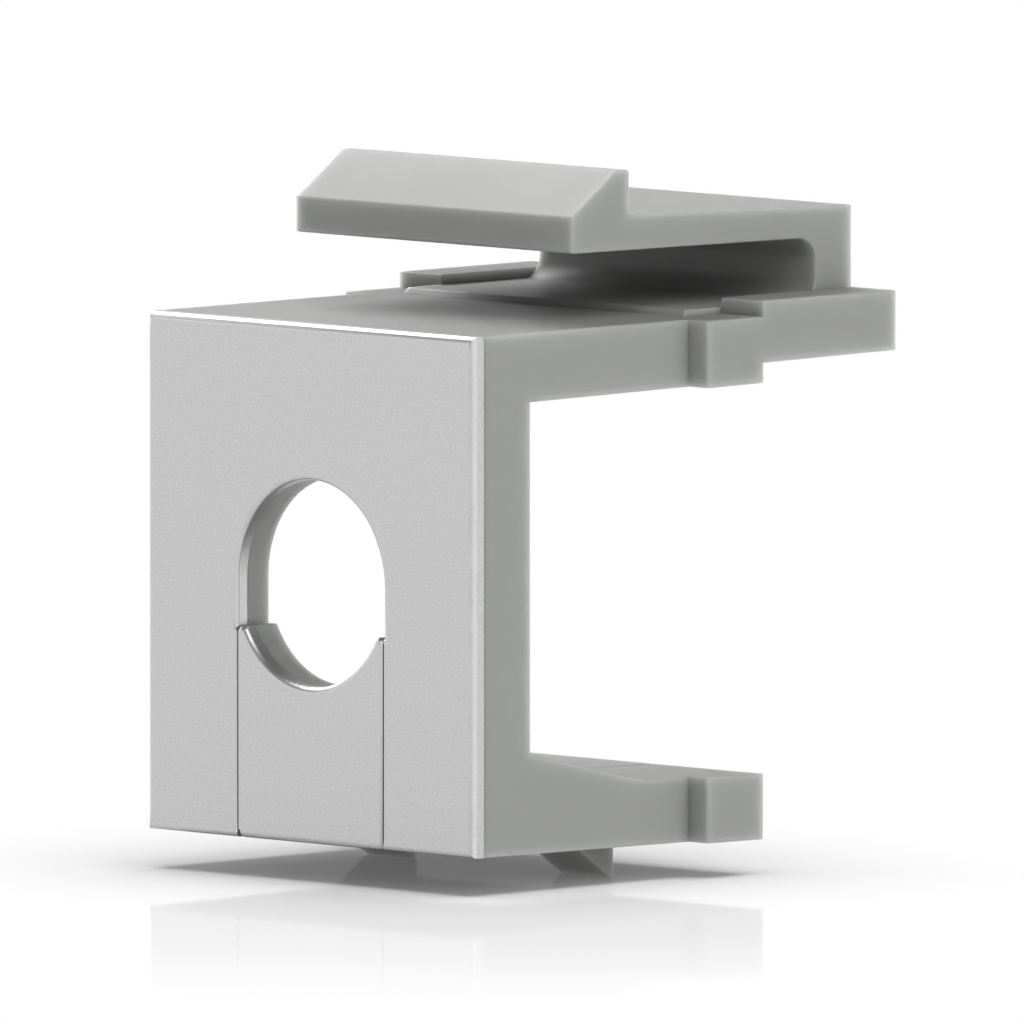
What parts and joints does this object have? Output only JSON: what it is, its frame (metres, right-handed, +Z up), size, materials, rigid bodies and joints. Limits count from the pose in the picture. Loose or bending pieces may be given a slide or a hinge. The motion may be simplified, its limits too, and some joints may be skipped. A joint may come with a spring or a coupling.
{
  "type": "keystone blank insert with cable hole",
  "caption": "Snap-in keystone insert with a C-shaped body, a bent spring latch with a hook, catch lugs below, and a silver face whose cable hole is closed from below by a slider.",
  "frame": {"origin": "where the cable hole's axis meets the front face", "axes": "+X to the right seen from the front, +Y from the front face to the rear, +Z up towards the latch"},
  "size_m": [0.0162, 0.0179, 0.0223],
  "materials": {
    "grey_plastic": "light grey moulded plastic with a fine satin grain",
    "silver_face": "silver, fine-blasted satin, with small rounded front edges"
  },
  "bodies": {
    "insert": {"insert_body": "grey_plastic", "face_plate": "silver_face"},
    "slider": {"cable_slider": "grey_plastic", "slider_plate": "silver_face"}
  },
  "joints": [
    {"name": "slider_slide", "type": "slide", "parent": "insert", "child": "slider", "axis": [0, 0, -1], "range_m": [0, 0.0065]}
  ]
}
